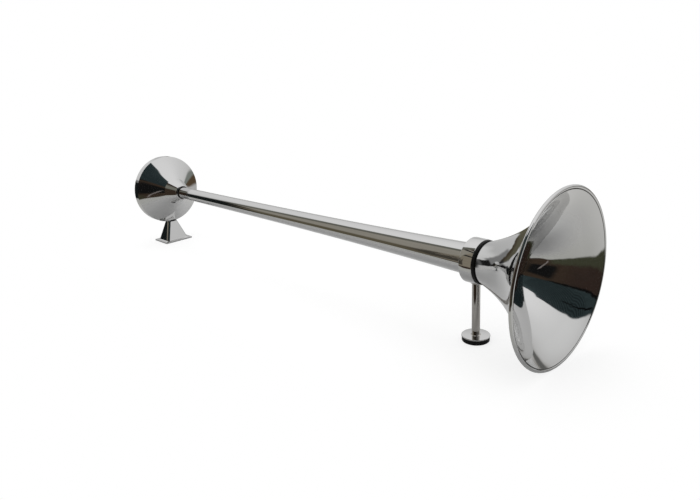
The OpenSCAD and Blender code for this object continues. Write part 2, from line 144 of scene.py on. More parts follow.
def make_camera():
    """Camera at the photograph's place, fitted to the bell, the tube, the housing and both feet."""
    focal_px = 632.29
    image_width_px = 700
    place = (0.99595, -0.51786, 0.30435)
    data = bpy.data.cameras.new("view")
    data.sensor_width = 36
    data.lens = focal_px / image_width_px * data.sensor_width
    data.clip_start = 0.01
    data.clip_end = 100
    camera = bpy.data.objects.new("view", data)
    bpy.context.scene.collection.objects.link(camera)
    turn = look_frame(yaw=2.38175, pitch=-0.30782, roll=-0.05408)
    camera.matrix_world = Matrix.Translation(place) @ turn.to_4x4()
    bpy.context.scene.camera = camera


# Node trees


class Tree:
    """Short calls that build a node tree."""

    def __init__(self, owner):
        owner.use_nodes = True
        self.tree = owner.node_tree
        self.tree.nodes.clear()

    def add(self, kind, settings=None, **inputs):
        node = self.tree.nodes.new("ShaderNode" + kind)
        for name, value in (settings or {}).items():
            setattr(node, name, value)
        for name, value in inputs.items():
            self.feed(node.inputs[name.replace("_", " ")], value)
        return node

    def feed(self, socket, value):
        if isinstance(value, bpy.types.NodeSocket):
            self.tree.links.new(value, socket)
        else:
            socket.default_value = value

    def math(self, operation, *values):
        node = self.add("Math", {"operation": operation})
        for socket, value in zip(node.inputs, values):
            self.feed(socket, value)
        return node.outputs[0]

    def product(self, first, *others):
        """Product of any number of values."""
        for other in others:
            first = self.math("MULTIPLY", first, other)
        return first

    def length(self, first, second):
        """Length of a vector with two parts at right angles."""
        squares = (self.math("MULTIPLY", part, part) for part in (first, second))
        return self.math("SQRT", self.math("ADD", *squares))

    def vector(self, operation, *values):
        node = self.add("VectorMath", {"operation": operation})
        for socket, value in zip(node.inputs, values):
            self.feed(socket, value)
        return node.outputs["Value" if operation == "DOT_PRODUCT" else "Vector"]

    def step(self, value, start, end, low=0.0, high=1.0):
        """Smooth step from low, where value is start, to high, where value is end."""
        node = self.add("MapRange", {"interpolation_type": "SMOOTHSTEP"}, Value=value)
        node.inputs["From Min"].default_value = start
        node.inputs["From Max"].default_value = end
        node.inputs["To Min"].default_value = low
        node.inputs["To Max"].default_value = high
        return node.outputs[0]

    def fall(self, value, start, end):
        """Smooth step from 1, where value is start, to 0, where value is end."""
        return self.step(value, start, end, low=1.0, high=0.0)

    def above(self, value, edge, soft):
        """1 where value is above the edge and 0 where it is below it. The change is soft wide."""
        return self.step(self.math("SUBTRACT", value, edge), -soft / 2, soft / 2)

    def below(self, value, edge, soft):
        """1 where value is below the edge and 0 where it is above it. The change is soft wide."""
        return self.fall(self.math("SUBTRACT", value, edge), -soft / 2, soft / 2)

    def window(self, value, start, end, soft):
        """1 between start and end, and 0 outside them, with edges that are soft wide."""
        rise = self.step(value, start - soft / 2, start + soft / 2)
        return self.product(rise, self.fall(value, end - soft / 2, end + soft / 2))

    def mix(self, factor, first, second):
        """Colour that goes from first to second as factor goes from 0 to 1."""
        node = self.add("Mix", {"data_type": "RGBA"})
        colour_sockets = (node.inputs[0], node.inputs[6], node.inputs[7])
        for socket, value in zip(colour_sockets, (factor, first, second)):
            self.feed(socket, value)
        return node.outputs[2]

    def noise(self, vector, scale=1.0, detail=2.0, roughness=0.5):
        node = self.add("TexNoise", Vector=vector, Scale=scale, Detail=detail, Roughness=roughness)
        return node.outputs["Fac"]

    def bump(self, height, strength, distance):
        """Normal of a surface with that relief."""
        return self.add("Bump", Height=height, Strength=strength, Distance=distance).outputs[0]

    def blend(self, factor, first, second):
        """Shader that goes from first to second as factor goes from 0 to 1."""
        node = self.add("MixShader", Fac=factor)
        self.feed(node.inputs[1], first.outputs[0])
        self.feed(node.inputs[2], second.outputs[0])
        return node


def rgb(red, green=None, blue=None):
    """Colour with its alpha. One number makes a grey."""
    return (red, red if green is None else green, red if blue is None else blue, 1)


# Studio


# Light that matt surfaces get from all sides, and the mean grey that polished ones mirror, which spun
# steel also glows with as painted light
EVEN_LIGHT = 0.86
STUDIO_MEAN = 0.34


class Sky:
    """Directions in degrees, and shapes drawn in them.

    Azimuth and elevation, az and el, wander a little: polish is never quite even, so no mirrored edge
    is quite straight. True_el doesn't wander. Right means towards larger azimuths, as in the mirror.
    """

    def __init__(self, t):
        self.t = t
        self.direction = t.add("TexCoord").outputs["Generated"]
        part = t.add("SeparateXYZ", Vector=self.direction)
        x, self.y, z = (part.outputs[name] for name in "XYZ")
        degrees = math.degrees(1)
        self.true_el = t.product(t.math("ARCSINE", z), degrees)
        azimuth = t.product(t.math("ARCTAN2", self.y, x), degrees)
        # The same angle measured from the tube's far end, where the first one jumps by a full turn
        back = t.product(t.math("ARCTAN2", self.y, t.product(x, -1.0)), degrees)
        wander = t.math("SUBTRACT", t.noise(self.direction, scale=3.0, detail=3.0), 0.5)
        ripple = t.math("SUBTRACT", t.noise(self.direction, scale=16.0), 0.5)
        self.az = t.math("ADD", azimuth, t.product(wander, 5.0))
        self.back = t.math("ADD", back, t.product(wander, 5.0))
        shift = t.math("ADD", t.product(wander, 3.0), t.product(ripple, 2.0))
        self.el = t.math("ADD", self.true_el, shift)

    def panel(self, az, el, soft, tilt=0.0, back=False):
        """1 inside a panel between two azimuths and two elevations, with soft edges.

        Tilt raises the panel for each degree from its first azimuth. With back, the azimuths are
        measured from the tube's far end.
        """
        t = self.t
        across = self.back if back else self.az
        height = t.math("SUBTRACT", self.el, t.product(t.math("SUBTRACT", across, az[0]), tilt))
        return t.product(t.window(across, *az, soft[0]), t.window(height, *el, soft[1]))

    def lay(self, base, colour, **shape):
        """Base with a panel of that colour over it."""
        return self.t.mix(self.panel(**shape), base, colour)


def paint_olive_strip(t, sky, paper):
    """Olive strip behind the bell, where the paper meets the table, browner along its upper edge."""
    top = t.step(sky.az, 118, 146, low=-9.5, high=1.8)
    # The lower edge rises, so that the strip thins out to the right, and its left end hangs down
    rise = t.product(sky.az, 0.24)
    bottom = t.math("ADD", rise, t.step(sky.az, 124, 130, low=-49.0, high=-41.9))
    cover = t.product(t.below(sky.el, top, soft=1.2), t.above(sky.el, bottom, soft=1.4))
    cover = t.product(cover, t.window(sky.az, 119, 170, soft=4))
    olive = t.mix(t.step(sky.el, -3, 0.5), rgb(0.105, 0.098, 0.066), rgb(0.065, 0.052, 0.035))
    return t.mix(cover, paper, olive)


def paint_paper(t, sky):
    """White paper round and over the horn, greyer towards the table and warmer in its lower part."""
    paper = t.mix(t.step(sky.true_el, -8, 24), rgb(0.58, 0.575, 0.57), rgb(0.82))
    paper = t.mix(t.step(sky.true_el, 18, 62), paper, rgb(1.0, 0.995, 1.0))
    paper = sky.lay(paper, rgb(0.60), az=(8, 62), el=(-12, 22), soft=(12, 10), back=True)
    # Dim strips where the paper meets the table
    paper = sky.lay(paper, rgb(0.27, 0.255, 0.23), az=(4, 82), el=(-13, 1), soft=(16, 8))
    paper = sky.lay(paper, rgb(0.15, 0.15, 0.145), az=(60, 90), el=(-4.5, 0.8), soft=(8, 2.5))
    # A gap in the paper, brown below and grey above
    gap = t.mix(t.step(sky.el, -2, 2), rgb(0.11, 0.075, 0.045), rgb(0.25, 0.27, 0.25))
    paper = sky.lay(paper, gap, az=(89, 108), el=(-10.5, 9), soft=(5, 5))
    # A grey sheet behind the tube's far end
    paper = sky.lay(paper, rgb(0.25), az=(-8, 25), el=(0, 14), soft=(5, 4), tilt=-0.25, back=True)
    paper = paint_olive_strip(t, sky, paper)
    # A dark line under the grey sheet
    paper = sky.lay(paper, rgb(0.03), az=(-22, 14), el=(-2.6, 0.6), soft=(5, 1.2), back=True)
    # A black patch over that sheet, with a dim one beside it
    paper = sky.lay(paper, rgb(0.115), az=(-26, -14), el=(-4, 12), soft=(3, 2.5), back=True)
    return sky.lay(paper, rgb(0.012), az=(-16, -4.5), el=(-2, 9.5), soft=(3, 2), back=True)


def paint_left_part(t, sky, backdrop):
    """Left part of the backdrop: a two-tone panel, a brown-grey one beside it and a dark one behind."""
    # A pale patch high up, and a dark brown one beside it
    backdrop = sky.lay(backdrop, rgb(0.27, 0.27, 0.23), az=(-117, -97), el=(25, 54), soft=(5, 7))
    backdrop = sky.lay(backdrop, rgb(0.035, 0.027, 0.020), az=(-98, -62), el=(-30, 44), soft=(8, 5))
    # Brown-grey panel with a dark bar across it
    backdrop = sky.lay(backdrop, rgb(0.33, 0.29, 0.225), az=(-133, -113), el=(-17, 45), soft=(5, 4))
    backdrop = sky.lay(backdrop, rgb(0.03), az=(-134, -112), el=(26, 31), soft=(3, 2))
    # Two-tone panel, brown below and paler above. Its left edge is further right low down
    left_edge = t.step(sky.true_el, 6, 15, low=-145.0, high=-149.0)
    tones = t.mix(t.step(sky.el, -1, 10), rgb(0.155, 0.135, 0.090), rgb(0.41, 0.385, 0.33))
    cover = t.product(t.above(sky.az, left_edge, soft=2.4), t.fall(sky.az, -132, -129.5))
    backdrop = t.mix(t.product(cover, t.window(sky.el, -16, 52, soft=4)), backdrop, tones)
    backdrop = sky.lay(backdrop, rgb(0.02), az=(-150, -114), el=(45, 49), soft=(4, 1.5))
    # Dark lumps at its right edge, some taller than others
    place = t.add("CombineXYZ", X=t.product(sky.az, 1.8)).outputs[0]
    top = t.step(t.noise(place, detail=1.0), 0.38, 0.62, low=2.0, high=17.0)
    lumps = t.product(t.below(sky.el, top, soft=4), 0.9)
    lumps = t.product(lumps, sky.panel(az=(-131.5, -126.5), el=(-13, 25), soft=(1.5, 3)))
    backdrop = t.mix(lumps, backdrop, rgb(0.055, 0.05, 0.04))
    # The part behind it, blue-black below and grey-green above
    behind = t.mix(t.step(sky.el, 12, 24), rgb(0.012, 0.015, 0.015), rgb(0.20, 0.20, 0.17))
    beyond = t.product(t.below(sky.az, left_edge, soft=2.4), t.fall(sky.az, -140, -138))
    return t.mix(beyond, backdrop, behind)


def paint_stripes(t, sky, cool):
    """Fine level stripes, darker than the rest."""
    wave = t.math("SINE", t.product(sky.true_el, 2.9))
    stripes = t.product(t.step(wave, -0.3, 0.5), sky.panel(az=(-48, 8), el=(14, 52), soft=(6, 5)))
    return t.mix(t.product(stripes, 0.7), cool, rgb(0.008, 0.012, 0.014))


def paint_backdrop(t, sky):
    """Dark backdrop in front: brown low down, blue-black above a sloping line and grey-green on top."""
    warm = t.mix(t.step(sky.az, -38, -12), rgb(0.062, 0.046, 0.031), rgb(0.042, 0.030, 0.024))
    stains = t.noise(sky.direction, scale=9.0, detail=3.0)
    warm = t.mix(t.product(stains, 0.6), warm, rgb(0.050, 0.026, 0.020))
    cool = t.mix(t.step(sky.el, 26, 62), rgb(0.036, 0.053, 0.056), rgb(0.056, 0.078, 0.082))
    cool = paint_stripes(t, sky, cool)
    # The line between them has this height at azimuth -38, and falls by 0.45 a degree to the right
    line = 22.3
    fallen = t.product(t.math("ADD", sky.az, 38.0), 0.45)
    height = t.math("ADD", sky.el, fallen)
    backdrop = t.mix(t.above(height, line, soft=3), warm, cool)
    bar = t.product(t.window(height, line - 1.4, line + 0.8, soft=1.2), t.step(sky.az, -40, -34))
    backdrop = t.mix(bar, backdrop, rgb(0.006))
    # Olive band along the bottom, with a ragged upper edge
    rough = t.noise(sky.direction, scale=26.0, detail=3.0, roughness=0.7)
    ragged = t.product(t.math("SUBTRACT", rough, 0.5), 7.0)
    band = t.fall(t.math("ADD", sky.true_el, ragged), -13.5, -9.0)
    backdrop = t.mix(t.product(band, t.step(sky.az, -47, -38)), backdrop, rgb(0.066, 0.069, 0.042))
    # A dark bar that slopes down to the right
    backdrop = sky.lay(backdrop, rgb(0.004), az=(-7, 12), el=(27.6, 29.6), soft=(3, 1), tilt=-1.17)
    # A black patch with a pale bar
    backdrop = sky.lay(backdrop, rgb(0.010), az=(-61, -36), el=(-8, 18), soft=(7, 7))
    pale = rgb(0.32, 0.285, 0.27)
    backdrop = sky.lay(backdrop, pale, az=(-52.5, -45.5), el=(1.0, 5.0), soft=(1.5, 1.5), tilt=-2.9)
    backdrop = paint_left_part(t, sky, backdrop)
    patches = t.noise(sky.direction, scale=14.0, detail=4.0)
    return t.mix(t.product(patches, 0.35), backdrop, rgb(0.0))


def paint_table(t, sky):
    """Table below the horn, brighter on the far side and dimmer straight down."""
    far_side = t.step(sky.y, -0.5, 0.4)
    table = t.mix(far_side, rgb(0.50, 0.50, 0.475), rgb(0.68, 0.675, 0.66))
    return t.mix(t.step(sky.true_el, -80, -35, low=0.6, high=0.0), table, rgb(0.36, 0.36, 0.34))


def paint_studio(t):
    """Colour of the studio in each direction, as polished metal shows it.

    White paper stands round the horn and over it. Its front is open, and a dark backdrop shows there.
    """
    sky = Sky(t)
    # The right edge of the opening leans to the left all the way up
    right_edge = t.step(sky.true_el, -8, 26, low=18.5, high=9.5)
    right_edge = t.math("ADD", right_edge, t.step(sky.true_el, 30, 60, low=0.0, high=-14.0))
    # Left edge: a step to the right at the table's back, then leaning to the left
    left_edge = t.step(sky.true_el, 7, 11, low=-161.0, high=-153.0)
    left_edge = t.math("ADD", left_edge, t.step(sky.true_el, 16, 44, low=0.0, high=-10.0))
    # Upper edge, lower over the right half
    top_edge = t.step(sky.az, -34, -10, low=61.0, high=54.0)
    opening = t.product(t.below(sky.az, right_edge, soft=2.4), t.above(sky.az, left_edge, soft=4))
    opening = t.product(opening, t.below(sky.el, top_edge, soft=2.4))
    # The table's front edge, which lies in the lower part of the opening
    table_edge = t.step(sky.az, -56, -42, low=-24.9, high=-20.0)
    table_edge = t.math("ADD", table_edge, t.step(sky.az, -10, 3, low=0.0, high=-2.0))
    table_edge = t.math("ADD", table_edge, t.step(sky.az, -136, -128, low=8.7, high=0.0))

    table = paint_table(t, sky)
    paper = t.mix(t.step(sky.true_el, -18.5, -15.5), table, paint_paper(t, sky))
    backdrop = t.mix(t.above(sky.el, table_edge, soft=2), table, paint_backdrop(t, sky))
    return t.mix(opening, paper, backdrop)


def make_world():
    """White for the camera, an even light for matt surfaces, and the studio for metal."""
    world = bpy.data.worlds.new("studio")
    bpy.context.scene.world = world
    t = Tree(world)
    rays = t.add("LightPath")
    studio = t.add("Background", Color=paint_studio(t), Strength=1.0)
    even = t.add("Background", Color=rgb(EVEN_LIGHT), Strength=1.0)
    white = t.add("Background", Color=rgb(1.0), Strength=1.0)
    metal = t.math("MAXIMUM", rays.outputs["Is Glossy Ray"], rays.outputs["Is Transmission Ray"])
    seen = t.blend(rays.outputs["Is Camera Ray"], t.blend(metal, even, studio), white)
    t.feed(t.add("OutputWorld").inputs["Surface"], seen.outputs[0])


# Table


# Half its side and its height, in metres. It lies just under the feet
TABLE_HALF = 6.0
TABLE_Z = -0.0001
# Share of its white that a shadow can take away, and the light on its open parts
TABLE_SHADE = 0.30
OPEN_LIGHT = 0.82
# Its grey in the mirror, on the side of the dark backdrop and on the far side
TABLE_NEAR = 0.54
TABLE_FAR = 0.70
# Far end of a line under the trumpet, which starts at the rear foot and passes the front one. The
# shadow, the mirrored table and its sharp edge near the post fade between two distances from it
LINE_END = 0.7
SHADOW_FADE = (0.05, 0.18)
MIRROR_FADE = (0.07, 0.19)
EDGE_FADE = (0.100, 0.112)


def seen_table(t, away):
    """Table as the camera sees it: the horn's shadow, which fades into white."""
    # Most of its white is its own, so that only a faint shadow is left under the feet
    paper = t.add("BsdfDiffuse", Color=rgb(TABLE_SHADE), Roughness=0.5)
    own = t.add("Emission", Color=rgb(1.0), Strength=1.0 - TABLE_SHADE * OPEN_LIGHT)
    lit = t.add("AddShader")
    t.feed(lit.inputs[0], paper.outputs[0])
    t.feed(lit.inputs[1], own.outputs[0])
    white = t.add("Emission", Color=rgb(1.0), Strength=1.0)
    return t.blend(t.step(away, *SHADOW_FADE), lit, white)


def mirrored_table(t, part, away):
    """Table as polished metal shows it. Further out the studio shows its own table."""
    across = part.outputs["Y"]
    level = t.mix(t.step(across, -0.06, 0.10), rgb(TABLE_NEAR), rgb(TABLE_FAR))
    table = t.add("BsdfDiffuse", Color=level, Roughness=0.5)
    # In front of the post the table ends at a sharp edge
    beside_post = t.window(part.outputs["X"], 0.50, 0.76, soft=0.06)
    edge = t.product(t.step(away, *EDGE_FADE), t.fall(across, -0.03, 0.0), beside_post)
    clearness = t.math("MAXIMUM", t.step(away, *MIRROR_FADE), edge)
    return t.blend(clearness, table, t.add("BsdfTransparent"))


def make_table():
    """Pale table under the horn."""
    signs = ((-1, -1), (1, -1), (1, 1), (-1, 1))
    corners = [(x * TABLE_HALF, y * TABLE_HALF, TABLE_Z) for x, y in signs]
    mesh = bpy.data.meshes.new("floor")
    mesh.from_pydata(corners, [], [(0, 1, 2, 3)])
    floor = bpy.data.objects.new("floor", mesh)
    bpy.context.scene.collection.objects.link(floor)

    material = bpy.data.materials.new("floor")
    mesh.materials.append(material)
    t = Tree(material)
    part = t.add("SeparateXYZ", Vector=t.add("NewGeometry").outputs["Position"])
    nearest = t.add("Clamp", Value=part.outputs["X"], Min=0.0, Max=LINE_END).outputs[0]
    away = t.length(t.math("SUBTRACT", part.outputs["X"], nearest), part.outputs["Y"])
    glossy = t.add("LightPath").outputs["Is Glossy Ray"]
    both = t.blend(glossy, seen_table(t, away), mirrored_table(t, part, away))
    t.feed(t.add("OutputMaterial").inputs["Surface"], both.outputs[0])


def make_lamp():
    """Large soft lamp over the horn, which gives the feet their shadow."""
    target = Vector((0.35, 0, 0.05))
    data = bpy.data.lights.new("overhead", "AREA")
    data.shape = "DISK"
    data.size = 1.6
    data.energy = 9
    lamp = bpy.data.objects.new("overhead", data)
    lamp.location = (0.1, 0.7, 2.2)
    lamp.rotation_mode = "QUATERNION"
    lamp.rotation_quaternion = (lamp.location - target).to_track_quat("Z", "Y")
    lamp.visible_glossy = False
    lamp.visible_camera = False
    bpy.context.scene.collection.objects.link(lamp)


# Turned pieces


def flare(t, start, end, rate):
    """Radius at share t of a flare that opens from start to end."""
    return start + (end - start) * (math.exp(rate * t) - 1) / (math.exp(rate) - 1)


def spaced(start, end, count):
    """Count + 1 values from start to end."""
    return [start + (end - start) * i / count for i in range(count + 1)]


def arc(centre, radius, start, end, count):
    """Points on an arc. Its angle, in degrees, is 0 away from the axis and 90 along it."""
    angles = [math.radians(angle) for angle in spaced(start, end, count)]
    return [(centre[0] + radius * math.cos(a), centre[1] + radius * math.sin(a)) for a in angles]


def spin(outline, facets, place):
    """Mesh of a closed outline turned round an axis.

    An outline point is a radius and a distance along the axis, in millimetres. The radius may be a
    function of the angle, and a point of radius 0 is one corner. Place turns a radius, an angle and
    a distance into a point in metres.
    """
    work = bmesh.new()
    rings = []
    for reach, along in outline:
        if reach == 0:
            rings.append([work.verts.new(place(0, 0, along))] * facets)
            continue
        ring = []
        for i in range(facets):
            angle = 2 * math.pi * i / facets
            radius = reach(angle) if callable(reach) else reach
            ring.append(work.verts.new(place(radius, angle, along)))
        rings.append(ring)
    skin(work, rings)
    return work


def skin(work, rings):
    """Faces between each ring of corners and the next, and between the last and the first."""
    for first, second in zip(rings, rings[1:] + rings[:1]):
        for i in range(len(first)):
            j = (i + 1) % len(first)
            corners = list(dict.fromkeys((first[i], first[j], second[j], second[i])))
            if len(corners) > 2:
                work.faces.new(corners)


def on_axis(radius, angle, along):
    """Point round the trumpet's axis."""
    return (along * MM, radius * math.cos(angle) * MM, AXIS_Z + radius * math.sin(angle) * MM)


def upright(radius, angle, along):
    """Point round the post's axis."""
    return (POST_X * MM + radius * math.cos(angle) * MM, radius * math.sin(angle) * MM, along * MM)


def piece(name, work, material, body, replaces=None):
    """Object made of a work mesh, smooth apart from its sharp edges, which rides on a body."""
    bmesh.ops.recalc_face_normals(work, faces=work.faces)
    for face in work.faces:
        face.smooth = True
    for edge in work.edges:
        edge.smooth = edge.calc_face_angle(math.pi) < math.radians(SHARP)
    mesh = bpy.data.meshes.new(name)
    work.to_mesh(mesh)
    work.free()
    mesh.materials.append(material)
    made = bpy.data.objects.new(name, mesh)
    bpy.context.scene.collection.objects.link(made)
    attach(made, body)
    if replaces:
        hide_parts(replaces)


# Back cover and its screws


def screw_places():
    """Where the cover screws' axes cross the covers, in metres."""
    bearings = [(i + 0.5) * 2 * math.pi / SCREW_COUNT for i in range(SCREW_COUNT)]
    reach = SCREW_CIRCLE_R * MM
    return [(reach * math.sin(bearing), AXIS_Z - reach * math.cos(bearing)) for bearing in bearings]


def drilled(work):
    """The work mesh with the cover screws' holes cut through it."""
    hole_r = SCREW_HOLE_R * MM
    drill_len = 60 * MM
    drills = bmesh.new()
    for y, z in screw_places():
        place = Matrix.Translation((0, y, z)) @ Matrix.Rotation(math.pi / 2, 4, "Y")
        bmesh.ops.create_cone(drills, cap_ends=True, segments=64, radius1=hole_r, radius2=hole_r,
                              depth=drill_len, matrix=place)
    parts = []
    for name, made in (("blank", work), ("drills", drills)):
        mesh = bpy.data.meshes.new(name)
        made.to_mesh(mesh)
        made.free()
        parts.append(bpy.data.objects.new(name, mesh))
        bpy.context.scene.collection.objects.link(parts[-1])
    blank, tool = parts
    cut = blank.modifiers.new("holes", "BOOLEAN")
    cut.object = tool
    cut.solver = "EXACT"
    result = blank.evaluated_get(bpy.context.evaluated_depsgraph_get())
    work = bmesh.new()
    work.from_mesh(result.to_mesh())
    for part in parts:
        bpy.data.meshes.remove(part.data)
    return work


def make_back_cover(steel):
    """Back cover: a flange with polished round edges and a shallow hollow dome."""
    back_edge_r = 0.3
    front_edge_r = 0.1
    # How far the dome's foot is bevelled on either side
    foot_bevel = 0.3
    # A ring of corners this far inside the edge keeps a flat face's shading flat
    back_ring = 1.0
    front_ring = 0.8
    hollow_ring = 0.4
    front = COVER_FRONT_X
    back = front - COVER_FLANGE
    dome_r = (COVER_DOME_R ** 2 + COVER_DOME_H ** 2) / (2 * COVER_DOME_H)
    centre = back - COVER_DOME_H + dome_r

    def dome(radius, wall):
        return (radius, centre - math.sqrt((dome_r - wall) ** 2 - radius ** 2))

    hollow_r = COVER_DOME_R - COVER_WALL
    outline = [dome(radius, 0) for radius in spaced(0, COVER_DOME_R - foot_bevel, 60)]
    outline += [(COVER_DOME_R + foot_bevel, back), (COVER_R - back_ring, back)]
    outline += arc((COVER_R - back_edge_r, back + back_edge_r), back_edge_r, -90, 0, 6)
    outline += arc((COVER_R - front_edge_r, front - front_edge_r), front_edge_r, 0, 90, 3)
    outline += [(COVER_R - front_ring, front), (hollow_r + hollow_ring, front), (hollow_r, front)]
    outline += [dome(radius, COVER_WALL) for radius in spaced(hollow_r, 0, 40)]
    work = drilled(spin(outline, FACETS, on_axis))
    piece("spun_cover", work, steel, "horn", "back_cover")


def knurl(angle):
    """Radius of a screw's knurled head."""
    teeth = 24
    depth = 0.09
    return HEAD_R - depth * (1 + math.cos(teeth * angle)) / 2


def hexagon(angle):
    """Radius of a screw's hexagon socket."""
    turn = (angle + math.pi / 6) % (math.pi / 3) - math.pi / 6
    return SOCKET_FLATS / 2 / math.cos(turn)


def screw_outline(low, high):
    """Outline of a cap screw from low to high: socket, head, plain neck and thread."""
    socket_depth = HEAD_H * 0.5
    drill_depth = HEAD_H * 0.62
    # A chamfer is how far it goes across, and then along the screw
    socket_chamfer = (0.12, 0.25)
    head_chamfer = (0.45, 0.3)
    seat_chamfer = (0.2, 0.25)
    neck_len = 1.5
    thread_depth = 0.28
    tip_chamfer = (0.5, 0.6)
    corner_r = SOCKET_FLATS / 2 / math.cos(math.pi / 6)
    seat = low + HEAD_H
    outline = [(0, low + drill_depth), (hexagon, low + socket_depth), (hexagon, low + socket_chamfer[1])]
    outline += [(corner_r + socket_chamfer[0], low), (HEAD_R - head_chamfer[0], low)]
    outline += [(knurl, low + head_chamfer[1]), (knurl, seat - seat_chamfer[1])]
    outline += [(HEAD_R - seat_chamfer[0], seat), (SCREW_R, seat)]
    along = seat + neck_len
    outline.append((SCREW_R, along))
    while along + THREAD_PITCH < high - tip_chamfer[1]:
        outline += [(SCREW_R - thread_depth, along + THREAD_PITCH / 2), (SCREW_R, along + THREAD_PITCH)]
        along += THREAD_PITCH
    return outline + [(SCREW_R - tip_chamfer[0], high), (0, high)]


def round_screw(y, z, turn):
    """Place function for spin, round a screw's axis and turned by an angle."""

    def place(radius, angle, along):
        bearing = angle + turn
        return (along * MM, y + radius * math.cos(bearing) * MM, z + radius * math.sin(bearing) * MM)

    return place


def make_screws(steel):
    """Cap screws with a knurled head, a chamfered hexagon socket and a thread."""
    low, high = (corner.x for corner in span("cover_screws"))
    # No two screws in a row stop at the same angle
    turn_between = 0.37
    for i, (y, z) in enumerate(screw_places()):
        work = spin(screw_outline(low, high), SMALL_FACETS, round_screw(y, z, i * turn_between))
        piece("cover_screw_%d" % (i + 1), work, steel, "horn", "cover_screws")


# Bell and tube


def bell_outside(s):
    """Radius of the bell's outside at a distance s behind its mouth."""
    share = min(s / TURN_OUT_LEN, 1)
    turn_out = TURN_OUT * TURN_OUT_LEN * share * (1 - share) ** 2
    return flare(1 - s / FLARE_LEN, NECK_R, MOUTH_R - BELL_WALL, FLARE_RATE) - turn_out


def bell_inside(s):
    """Radius of the bell's inside at a distance s behind its mouth, one wall from the outside."""
    near = 0.01
    slope = (bell_outside(s - near) - bell_outside(s + near)) / (2 * near)
    return bell_outside(s) - BELL_WALL * math.hypot(1, slope)


def make_bell(steel):
    """Spun bell: outside, rolled rim, crease inside the rim, inside and the socket over the tube."""
    rim = (MOUTH_R - BEAD_R, MOUTH_X - BEAD_R)
    # Where the crease lies from the end of the inside, outwards and back
    crease_out = 0.35
    crease_back = 0.55
    # The outside meets the back of the bead, and the inside ends in a crease beside its front
    meeting = BEAD_R / 3
    search_step = 0.01
    while math.hypot(bell_outside(meeting) - rim[0], MOUTH_X - meeting - rim[1]) < BEAD_R:
        meeting += search_step
    back = math.degrees(math.atan2(MOUTH_X - meeting - rim[1], bell_outside(meeting) - rim[0]))
    back -= 360 if back > 0 else 0
    lip = BEAD_R / 3
    crease_angle = 180 - math.degrees(math.asin(1 - lip / BEAD_R))
    crease = (bell_inside(lip) + crease_out, MOUTH_X - lip - crease_back)
    inner_r = TUBE_FRONT_R + SOLDER_PLAY
    outer_r = inner_r + BELL_WALL
    after_bead = meeting + 0.3
    outline = arc(rim, BEAD_R, crease_angle, back, 40)
    outline += [(bell_outside(s), MOUTH_X - s) for s in spaced(after_bead, FLARE_LEN, 72)]
    outline += [(outer_r, TUBE_END_X), (outer_r, SOCKET_X), (inner_r, SOCKET_X), (inner_r, TUBE_END_X)]
    outline += [(bell_inside(s), MOUTH_X - s) for s in spaced(FLARE_LEN, lip, 72)]
    outline.append(crease)
    piece("spun_bell", spin(outline, FACETS, on_axis), steel, "horn", "bell")


def make_tube(steel):
    """Flared tube with a straight end inside the bell's socket."""
    outline = [(flare(t, TUBE_REAR_R, TUBE_FRONT_R, TUBE_RATE), TUBE_X + (SOCKET_X - TUBE_X) * t)
               for t in spaced(0, 1, 96)]
    inside = [(radius - TUBE_WALL, along) for radius, along in reversed(outline)]
    outline += [(TUBE_FRONT_R, TUBE_END_X), (TUBE_FRONT_R - TUBE_WALL, TUBE_END_X)] + inside
    work = spin(outline, SLIM_FACETS, on_axis)
    piece("drawn_tube", work, steel, "horn", "trumpet_tube")


def make_solder_line(steel):
    """Thin polished solder fillet where the tube starts on the sleeve."""
    fillet_r = 0.42
    sunk = 0.1
    outline = arc((SLEEVE_R - sunk, TUBE_X), fillet_r, 180, -180, 16)[:-1]
    piece("solder_line", spin(outline, SLIM_FACETS, on_axis), steel, "horn")


# Front support


def make_collar(steel):
    """Collar with polished round edges."""
    outer_edge_r = 0.5
    inner_edge_r = 0.2
    front = collar_high.x
    back = collar_low.x
    outer = COLLAR_R - outer_edge_r
    inner = COLLAR_R - COLLAR_WALL + inner_edge_r
    outline = arc((outer, front - outer_edge_r), outer_edge_r, 90, 0, 8)
    outline += arc((outer, back + outer_edge_r), outer_edge_r, 0, -90, 8)
    outline += arc((inner, back + inner_edge_r), inner_edge_r, -90, -180, 4)
    outline += arc((inner, front - inner_edge_r), inner_edge_r, 180, 90, 4)
    work = spin(outline, FACETS, on_axis)
    piece("turned_collar", work, steel, "front_support", "support_collar")


def make_disc(steel):
    """Foot disc with polished round edges."""
    upper_edge_r = 0.45
    lower_edge_r = 0.15
    outline = arc((DISC_R - upper_edge_r, DISC_HIGH - upper_edge_r), upper_edge_r, 90, 0, 8)
    outline += arc((DISC_R - lower_edge_r, DISC_LOW + lower_edge_r), lower_edge_r, 0, -90, 4)
    outline += [(DISC_HOLE_R, DISC_LOW), (DISC_HOLE_R, DISC_HIGH)]
    work = spin(outline, SLIM_FACETS, upright)
    piece("turned_disc", work, steel, "front_support", "foot_disc")


def make_post_weld(steel):
    """Rippled weld along the line where the post meets the round collar."""
    turns = 240
    sides = 12
    # The bead's middle lies this far outside the post, and below the collar's surface
    reach = POST_R + 0.45
    drop = 0.25
    mean_r = 1.15
    # The ripples that each drop of metal leaves, and a slower swell
    ripple = 0.10
    ripples = 30
    swell = 0.05
    swells = 7
    work = bmesh.new()
    rings = []
    for i in range(turns):
        angle = 2 * math.pi * i / turns
        collar_z = AXIS_Z / MM - math.sqrt(COLLAR_R ** 2 - (reach * math.sin(angle)) ** 2)
        bead_r = mean_r + ripple * math.sin(ripples * angle) + swell * math.sin(swells * angle + 1)
        ring = []
        for j in range(sides):
            around = 2 * math.pi * j / sides
            out = reach + bead_r * math.cos(around)
            up = collar_z - drop + bead_r * math.sin(around)
            ring.append(work.verts.new(upright(out, angle, up)))
        rings.append(ring)
    skin(work, rings)
    piece("post_weld", work, steel, "front_support")


